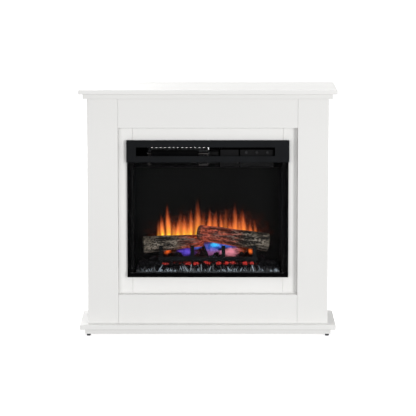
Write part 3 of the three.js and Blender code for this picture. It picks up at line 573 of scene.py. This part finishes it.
def bark_log(name, start, end, radius_start, radius_end, seed, knots, round_start, round_end):
    """A tapering limb from start to end, both on its axis, in metres."""
    start, end = Vector(start), Vector(end)
    axis = end - start
    length = axis.length
    turn = axis.to_track_quat("X", "Z").to_matrix()
    rings, around = int(length / (1.25 * MM)), 132
    points, ridge, rows = [], [], []

    def ring(x, shrink, push):
        for k in range(around):
            a = 2 * math.pi * k / around
            u = x / length
            radius = radius_start + (radius_end - radius_start) * u
            sway = noise.noise(Vector((x / (55 * MM), math.cos(a), math.sin(a) + seed)))
            wave = 2.6 * MM * noise.noise(
                Vector((x / (17 * MM), 1.3 * math.cos(a), 1.3 * math.sin(a) - seed)))
            cross_a = a + wave / radius
            fine = ridged(Vector((x / ALONG_BARK, radius * math.cos(cross_a) / ACROSS_BARK,
                                  radius * math.sin(cross_a) / ACROSS_BARK)), seed)
            coarse = ridged(Vector((x / (70 * MM), radius * math.cos(cross_a) / (15 * MM),
                                    radius * math.sin(cross_a) / (15 * MM))), seed + 9)
            swell = 0
            for at, angle, size in knots:
                gap = math.hypot(x - at, radius * math.remainder(a - angle, 2 * math.pi)) / size
                if gap < 1.6:
                    gap += 0.35 * sway + 0.25 * (coarse - 0.5)
                    swell += 0.16 * size * math.exp(-2.2 * gap * gap)
                    fine = 0.72 * fine + 0.28 * (0.5 + 0.5 * math.cos(8 * gap))
            relief = 0.62 * fine + 0.38 * coarse
            r = radius * (0.99 + 0.05 * sway) - BARK_DEEP * (1 - relief) + swell
            r *= shrink
            points.append(start + turn @ Vector((x + push, r * math.cos(a), r * math.sin(a))))
            ridge.append(relief if shrink > 0.97 else 0.75 * relief + 0.1)

    def shrink_at(x):
        s = 1.0
        if x < round_start:
            s = math.sqrt(max(0, 1 - (1 - x / round_start) ** 2)) * 0.55 + 0.45
        if length - x < round_end:
            s = math.sqrt(max(0, 1 - (1 - (length - x) / round_end) ** 2)) * 0.55 + 0.45
        return s

    def cut_face(x, outward):
        """Rings that close an end: a rough cut with growth rings, a little hollow."""
        steps = range(CAP_RINGS, 0, -1) if outward < 0 else range(1, CAP_RINGS + 1)
        for i in steps:
            share = 1 - i / (CAP_RINGS + 0.4)
            dip = outward * (0.8 * MM * math.sin(i * 2.4) - 1.6 * MM * (1 - share))
            ring(x, share * shrink_at(x), dip)
        return CAP_RINGS

    count = cut_face(0, -1)
    for i in range(rings + 1):
        ring(length * i / rings, shrink_at(length * i / rings), 0)
        count += 1
    count += cut_face(length, 1)
    faces = grid_faces(count, around, wrap=True)
    faces.append(tuple(range(around - 1, -1, -1)))
    faces.append(tuple(range((count - 1) * around, count * around)))
    return points, faces, ridge


# %% [markdown]
# The paint takes its crest and groove colours from that number. The red light inside shows in the
# grooves and on the shaded underside, and fades towards the cool outer ends.


# %% Painted bark
def painted_bark(name, lit_from, lit_to, flare, cool_tip):
    """Bark whose glow fades in from x = lit_from to x = lit_to and is strongest at x = flare."""
    bark = Finish(name, Specular_IOR_Level=0.2, Emission_Strength=1.0)
    crest = bark.painted("ridge")
    x = bark.axis("X")
    wander = bark.noise(24, 3) - 0.5
    if lit_from < lit_to:
        lit = bark.step(x + 0.07 * wander, lit_from, lit_to)
    else:
        lit = 1 - bark.step(x + 0.07 * wander, lit_to, lit_from)
    lit = lit * bark.step(x + 0.02 * wander, *cool_tip)
    fierce = 1 - bark.step(abs(x - flare), 0, 0.032)
    moss = bark.noise(38, 4)
    fibre = bark.noise(1, 5, bark.scaled(140, 1000, 1000), 0.7)
    streak = bark.step(bark.noise(1, 3, bark.scaled(16, 130, 130), 0.55), 0.40, 0.60)
    cool_crest = bark.mix(bark.step(moss, 0.35, 0.65), (0.33, 0.285, 0.23), (0.15, 0.125, 0.095))
    warm_crest = bark.mix(streak, (0.13, 0.095, 0.08), (0.22, 0.07, 0.05))
    height = bark.step(crest + 0.50 * (fibre - 0.5), 0.34, 0.84)
    groove = bark.mix(lit, (0.006, 0.005, 0.004), (0.03, 0.008, 0.006))
    hot = lit * (0.12 + 0.88 * streak + 0.9 * fierce) * (0.10 + 0.90 * height)
    ember = bark.mix(bark.step(moss, 0.4, 0.7), (0.30, 0.030, 0.014), (0.50, 0.085, 0.028))
    bark.feed(Base_Color=bark.mix(height, groove, bark.mix(lit, cool_crest, warm_crest)),
              Roughness=0.62 + 0.25 * fibre,
              Emission_Color=bark.mix(hot, (0, 0, 0), ember),
              Normal=bark.bump(fibre, 0.35 * MM))
    return bark.material


# %% Both logs
# each log's axis, from its left end to its right end
LEFT_AXIS = ((-0.2385, -0.021, 0.3190), (-0.0148, -0.010, 0.3340))
RIGHT_AXIS = ((-0.0388, -0.053, 0.3710), (0.2245, -0.0245, 0.3280))
points, faces, ridge = bark_log("log_left", *LEFT_AXIS, 0.0325, 0.0225, 3.1,
                                ((0.105, 2.4, 0.010),), 5 * MM, 9 * MM)
left_bark = painted_bark("left_bark", -0.135, -0.045, -0.020, (-0.30, -0.29))
make_piece("left_log", points, faces, left_bark,
           replaced=("log_left",), painted={"ridge": ridge})
points, faces, ridge = bark_log("log_right", *RIGHT_AXIS, 0.0295, 0.0335, 7.7,
                                ((0.228, 2.85, 0.021), (0.185, 3.5, 0.012), (0.05, 2.6, 0.010)),
                                15 * MM, 6 * MM)
right_bark = painted_bark("right_bark", 0.145, 0.080, -0.005, (-0.045, -0.015))
make_piece("right_log", points, faces, right_bark,
           replaced=("log_right",), painted={"ridge": ridge})

# %% [markdown]
# ## Bed of coals
# The bed is one moulded sheet that looks like packed coals, with lamps under it that shine red
# through its thin hollows. A cell pattern gives the coals: each point is as high as it is near to
# its cell's centre. Heat is painted on the bed, most of all in the hollows over its lamps. The
# paint layer is called ember_heat, because a layer called just heat was not found when rendering.

# %% Coal relief
bed_low, bed_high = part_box("ember_bed")
COAL_WIDE = 17 * MM
# middle and reach in mm of the places right over a lamp
HOT_SPOTS = ((-153, 9), (-74, 13), (-44, 12), (0, 15), (42, 10),
             (68, 9), (87, 9), (110, 6), (134, 9), (160, 7))
WARM_HALF = 0.175  # between the spots, this far out, a little light still comes through
WARM = 0.45


def heat_at(x):
    """How much lamp light comes through at a place across the bed."""
    spots = max(math.exp(-((x / MM - spot) / wide) ** 2) for spot, wide in HOT_SPOTS)
    return max(spots, WARM if abs(x) < WARM_HALF else 0)


def coal_height(x, y):
    near = noise.voronoi(Vector((x / COAL_WIDE, y / COAL_WIDE, 0.3)))[0]
    return max(0, min(1, 1.25 * (near[1] - near[0])))


columns, rows = 300, 58
points, heat = [], []
for j in range(rows):
    y = bed_low.y + (bed_high.y - bed_low.y) * j / (rows - 1)
    for i in range(columns):
        x = bed_low.x + (bed_high.x - bed_low.x) * i / (columns - 1)
        dome = coal_height(x, y)
        rough = noise.fractal(Vector((x, y, 0)) * 160, 1.0, 2.0, 3)
        z = bed_high.z - 16 * MM + 4 * MM * j / rows + 9 * MM * dome ** 0.5 + 1.2 * MM * rough
        if j == 0 or j == rows - 1 or i in (0, columns - 1):
            z = bed_low.z
        points.append((x, y, z))
        heat.append(heat_at(x) * (1 - 0.6 * dome))
faces = grid_faces(rows, columns)
rim = ([i for i in range(columns)] + [j * columns + columns - 1 for j in range(1, rows)]
       + [(rows - 1) * columns + i for i in range(columns - 2, -1, -1)]
       + [j * columns for j in range(rows - 2, 0, -1)])
faces.append(tuple(reversed(rim)))


# %% Charred coal, hot in its hollows
def charred_coal(name, ash, glow):
    coal = Finish(name, Specular_IOR_Level=0.06, Emission_Strength=1.0)
    grain = coal.noise(420, 4, rough=0.65)
    facing_up = coal.axis("Z", coal.node("TexCoord", out="Normal"))
    dust = coal.step(coal.noise(75, 4) + 0.35 * (facing_up - 0.5), 0.42, 0.8)
    above_glass = coal.step(coal.axis("Z"), 0.246, 0.259)
    hot = coal.step(coal.painted("ember_heat") * above_glass + 1.1 * (coal.noise(170, 4) - 0.5),
                    0.34, 0.95)
    glow = coal.mix(coal.noise(120, 2), (0.30, 0.010, 0.016), glow)
    coal.feed(Base_Color=coal.mix(dust, (0.0025, 0.0025, 0.003), ash),
              Roughness=0.5 + 0.35 * grain,
              Emission_Color=coal.mix(hot, (0, 0, 0), glow),
              Normal=coal.bump(grain, 0.5 * MM))
    return coal.material


char = charred_coal("charred_coal", (0.012, 0.012, 0.015), (1.0, 0.075, 0.050))
make_piece("coal_bed", points, faces, char, replaced=("ember_bed",),
           painted={"ember_heat": heat})

# %% [markdown]
# ## Loose coals
# Bigger coals lie on the bed, under and behind the grate bar, and a few tall ones stand dark
# against the glow. Each is a sphere of many faces, cut by random planes as broken coal is, then
# roughened. Many can share one mesh, since they never move.

# %% Coals
chance = random.Random(11)


def coal_lump(center, size, seed, points, faces, heat, share):
    """Add one broken coal; share is how hot its underside is."""
    rings, around = 15, 22
    cuts = []
    for _ in range(9):
        toward = (chance.uniform(-1, 1), chance.uniform(-1, 1), chance.uniform(-0.6, 1))
        cuts.append((Vector(toward).normalized(), chance.uniform(0.62, 0.86)))
    start = len(points)
    for i in range(rings):
        polar = math.pi * (i + 0.5) / rings
        for k in range(around):
            a = 2 * math.pi * k / around
            way = Vector((math.sin(polar) * math.cos(a), math.sin(polar) * math.sin(a),
                          math.cos(polar)))
            reach = 1.0
            for flat, depth in cuts:
                lean = way.dot(flat)
                if lean > 0.05:
                    reach = min(reach, depth / lean)
            reach *= (1 + 0.10 * noise.noise(way * 3 + Vector((seed, 0, 0)))
                      + 0.05 * noise.noise(way * 9))
            points.append(Vector(center) + Vector([w * reach * s for w, s in zip(way, size)]))
            crack = 1 - min(1, abs(noise.noise(way * 2.6 + Vector((0, seed, 0)))) * 3.4)
            heat.append(share * (0.6 + 0.4 * crack))
    faces.extend(grid_faces(rings, around, start, wrap=True))
    faces.append(tuple(range(start + around - 1, start - 1, -1)))
    last = start + (rings - 1) * around
    faces.append(tuple(range(last, last + around)))


points, faces, heat = [], [], []
# middle x, y, z and half sizes in mm of the tall ones
TALL = ((-112, -22, 264, 22, 13, 34), (-15, -8, 268, 20, 12, 52), (29, -16, 264, 16, 11, 31),
        (124, -18, 264, 15, 11, 29), (-196, -30, 260, 20, 14, 22), (196, -26, 260, 18, 14, 22))
TALL_SHARE = 0.3
FRONT_COALS = 54
BACK_COALS = 46
for seed, (x, y, z, wide, deep, tall) in enumerate(TALL):
    coal_lump((x * MM, y * MM, z * MM), (wide * MM, deep * MM, tall * MM), seed * 3.7,
              points, faces, heat, TALL_SHARE)
for i in range(FRONT_COALS):
    x = -0.245 + 0.49 * (i + chance.uniform(0.1, 0.9)) / FRONT_COALS
    y = chance.uniform(-0.070, -0.060)
    size = chance.uniform(7, 10.5) * MM
    share = heat_at(x)
    coal_lump((x, y, 0.2555 + chance.uniform(-2, 2) * MM), (size * 1.15, size * 0.8, size),
              i * 1.9 + 40, points, faces, heat, share)
for i in range(BACK_COALS):
    x = chance.uniform(-0.25, 0.25)
    y = chance.uniform(-0.052, 0.0)
    size = chance.uniform(8, 13) * MM
    coal_lump((x, y, 0.254), (size * 1.2, size, size * 0.9), i * 2.3 + 90,
              points, faces, heat, 0.25)
make_piece("loose_coals", points, faces, char, smooth=False, painted={"ember_heat": heat})

# %% [markdown]
# ## Crushed glass along the front
# A drift of pale crushed glass hides the foot of the bed. Its splinters stand and lean every way,
# in clumps, with fine chips between them. A splinter is a narrow crystal: three rings of five
# points, off true, that close to a tip. Flat shading keeps its facets crisp.


# %% Splinters and chips
def splinter(foot, tip, thick, points, faces):
    """Add one crystal from foot to tip."""
    foot, tip = Vector(foot), Vector(tip)
    axis = (tip - foot).normalized()
    side = axis.cross(Vector((0, 1, 0.2))).normalized()
    other = axis.cross(side)
    start = len(points)
    for share, girth in ((0.0, 0.75), (0.3, 1.0), (0.78, 0.72)):
        for k in range(5):
            a = 2 * math.pi * (k + chance.uniform(-0.25, 0.25)) / 5
            out = thick * girth * chance.uniform(0.8, 1.15)
            points.append(foot.lerp(tip, share) + side * (out * math.cos(a))
                          + other * (0.7 * out * math.sin(a)))
    points.append(tip)
    faces.extend(grid_faces(3, 5, start, wrap=True))
    faces.extend((start + 10 + k, start + 10 + (k + 1) % 5, start + 15) for k in range(5))
    faces.append(tuple(range(start + 4, start - 1, -1)))


def crushed_glass():
    glass = Finish("crushed_glass", Specular_IOR_Level=0.6)
    tone = glass.painted("tone")
    cloud = glass.noise(170, 3)
    glass.feed(Base_Color=glass.mix(tone * (0.55 + 0.9 * cloud),
                                    (0.003, 0.004, 0.005), (0.40, 0.49, 0.58)),
               Roughness=0.18 + 0.35 * cloud, Normal=glass.bump(glass.noise(500, 3), 0.15 * MM))
    return glass.material


points, faces, tones = [], [], []
drift_half = bed_high.x - 2 * MM
SPLINTERS = 150
CHIPS = 420
for i in range(SPLINTERS):
    x = -drift_half + 2 * drift_half * (i + chance.uniform(0, 1)) / SPLINTERS
    clump = 0.72 + 0.75 * noise.noise(Vector((x * 34, 0.7, 0)))
    tall = (chance.choice((12, 15, 18, 22, 26, 30, 34)) * MM * clump
            * (1 - 0.45 * abs(x / drift_half) ** 3))
    lean = chance.choice((-1, 1)) * chance.uniform(0.05, 0.85)
    y = bed_low.y - chance.uniform(0.5, 6.5) * MM
    foot = (x, y, bed_low.z + 3 * MM)
    reach = min(max(x + tall * lean, -drift_half), drift_half)
    before = len(points)
    splinter(foot, (reach, y + chance.uniform(-1.5, 3) * MM, bed_low.z + 3 * MM + tall),
             chance.uniform(0.9, 2.8) * MM, points, faces)
    tones += [chance.choice((0.01, 0.02, 0.05, 0.2, 0.6, 1.3))] * (len(points) - before)
for i in range(CHIPS):
    x = chance.uniform(-drift_half, drift_half)
    y = bed_low.y - chance.uniform(0, 9.5) * MM
    spread = chance.uniform(2, 5) * MM
    before = len(points)
    splinter((x, y, bed_low.z + 0.4 * MM),
             (x + chance.uniform(-1, 1) * spread, y, bed_low.z + chance.uniform(2.5, 6.5) * MM),
             chance.uniform(1.0, 2.4) * MM, points, faces)
    tones += [chance.choice((0.04, 0.10, 0.18))] * (len(points) - before)
make_piece("glass_drift", points, faces, crushed_glass(), smooth=False,
           painted={"tone": tones})

# %% [markdown]
# ## Flames
# The flames are moving light that the mirror rod throws on the screen. Each tongue is made as
# a leaf-shaped strip just in front of the screen: widest low down, leaning and wavering towards
# a fine tip. The strip carries how far up and how far out each point is. The finish turns those
# into colour, yellow at the root, orange, then a dark red wisp, and fades the edges away.

# %% Tongues
# centre x, tip z, half width at the widest, lean of the tip, all in mm, and brightness
TONGUES = (
    (-166, 440, 17, -9, 1.00), (-144, 480, 19, -6, 0.95), (-110, 424, 21, 3, 0.95),
    (-86, 440, 19, -2, 0.90), (-63, 462, 18, 3, 0.85), (-38, 500, 24, 3, 0.70),
    (-16, 456, 18, -3, 0.50), (4, 466, 16, 4, 0.95), (27, 456, 19, 2, 0.85),
    (50, 450, 15, -2, 0.85), (81, 424, 18, 0, 0.90), (100, 486, 20, 1, 0.85),
    (132, 466, 22, -5, 0.85), (158, 420, 13, -2, 0.85), (176, 424, 13, -5, 0.45),
    (-182, 420, 11, 2, 0.35), (-125, 420, 18, 2, 0.50), (-74, 430, 28, 0, 0.50),
    (-100, 460, 18, 2, 0.30), (66, 472, 18, -2, 0.35), (116, 450, 20, 2, 0.55),
    (15, 440, 34, 0, 0.45), (95, 425, 40, 0, 0.40), (150, 405, 34, 0, 0.35),
)
STRIP_STEP = 0.15 * MM


def root_z(x):
    """Tongues start behind the logs, out of sight."""
    return (338 if x < 100 else 328) * MM


def tongue(x, tip, wide, lean, layer, points, faces, up, out, shine, bright):
    rows, columns = 42, 9
    start = len(points)
    low = root_z(x)
    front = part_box("flame_screen")[0].y - 0.4 * MM - layer * STRIP_STEP
    for j in range(rows):
        t = j / (rows - 1)
        width = wide * MM * (0.75 + 0.8 * t) * (1 - t) ** 0.9 * 1.2
        sway = lean * MM * t ** 1.4 + 2.2 * MM * math.sin(6.5 * t + x) * t
        for k in range(columns):
            s = 2 * k / (columns - 1) - 1
            points.append((x * MM + sway + s * width, front, low + (tip * MM - low) * t))
            up.append(t)
            out.append(abs(s))
            shine.append(bright)
    faces.extend(grid_faces(rows, columns, start))


def flame_light():
    flame = Finish("flame_light", Base_Color=(0, 0, 0), Roughness=1.0, Specular_IOR_Level=0.0,
                   Emission_Strength=1.5)
    up, out, shine = flame.painted("up"), flame.painted("out"), flame.painted("shine")
    licks = flame.noise(1, 3, flame.scaled(150, 1, 24), 0.55) - 0.5
    height = up + 0.22 * licks + 0.22 * out
    color = flame.node("ValToRGB", {"stops": [
        (0.00, (1.0, 0.84, 0.05)), (0.09, (1.0, 0.70, 0.05)), (0.20, (1.0, 0.36, 0.04)),
        (0.42, (0.90, 0.20, 0.045)), (0.70, (0.45, 0.075, 0.025)), (1.0, (0.11, 0.022, 0.010))]},
        Fac=height)
    core = 1 - flame.step(out + 0.30 * licks, 0.10, 0.78)
    edge = 0.75 * core + 0.25 * (1 - flame.step(out + 0.30 * licks, 0.25, 1.0))
    fade = 1 - flame.step(up + 0.25 * licks, 0.15, 1.0)
    flame.feed(Emission_Color=color, Alpha=edge * fade * shine)
    return flame.material


points, faces, up, out, shine = [], [], [], [], []
for layer, (x, tip, wide, lean, bright) in enumerate(TONGUES):
    tongue(x, tip, wide, lean, layer, points, faces, up, out, shine, bright)
make_piece("flame_tongues", points, faces, flame_light(),
           painted={"up": up, "out": out, "shine": shine})

# %% [markdown]
# ## Light from the fire
# The screen and the coals light what stands near them. Four small lamps among the coals do the
# same for much less work: blue under the middle of the logs, and red-orange at either side.

# %% Ember lamps
for name, x, y, z, power, color in (
        ("blue_ember", 0.020, -0.004, 0.285, 0.020, (0.10, 0.45, 1.0)),
        ("left_ember", -0.075, -0.045, 0.272, 0.030, (1.0, 0.16, 0.03)),
        ("right_ember", 0.085, -0.048, 0.276, 0.026, (1.0, 0.16, 0.03)),
        ("front_ember", -0.010, -0.050, 0.280, 0.016, (1.0, 0.12, 0.03))):
    lamp(name, "POINT", (x, y, z), (x, y, 1), power, 9 * MM, color)

# %% [markdown]
# ## Screws
# Pan-head screws with a cross hold the back of the case. A head is a square grid pressed into a
# dome, which makes the cross easy: the rows and columns through its middle are pushed in.

# %% Screw heads
HEAD_R = 3.6 * MM
HEAD_UP = 1.5 * MM
case_low, case_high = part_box("case_back")


def screw_head(x, y, z, points, faces):
    """Add a head that looks towards +Y."""
    cells = 14
    start = len(points)
    for j in range(cells + 1):
        for i in range(cells + 1):
            a, b = 2 * i / cells - 1, 2 * j / cells - 1
            reach = max(abs(a), abs(b))
            flat = math.hypot(a, b) or 1
            u, v = a / flat * reach, b / flat * reach
            up = HEAD_UP * math.sqrt(max(0, 1 - reach ** 2.6))
            if (abs(a) < 0.16 or abs(b) < 0.16) and reach < 0.62:
                up -= 0.75 * MM
            points.append((x + HEAD_R * u, y + up, z + HEAD_R * v))
    faces.extend(tuple(reversed(face)) for face in grid_faces(cells + 1, cells + 1, start))


points, faces = [], []
INSET = 9 * MM
for x in (case_low.x + INSET, 0, case_high.x - INSET):
    for z in (case_low.z + INSET, (case_low.z + case_high.z) / 2, case_high.z - INSET):
        if x or z != (case_low.z + case_high.z) / 2:
            screw_head(x, case_high.y, z, points, faces)
make_piece("screw_heads", points, faces, turned_steel)
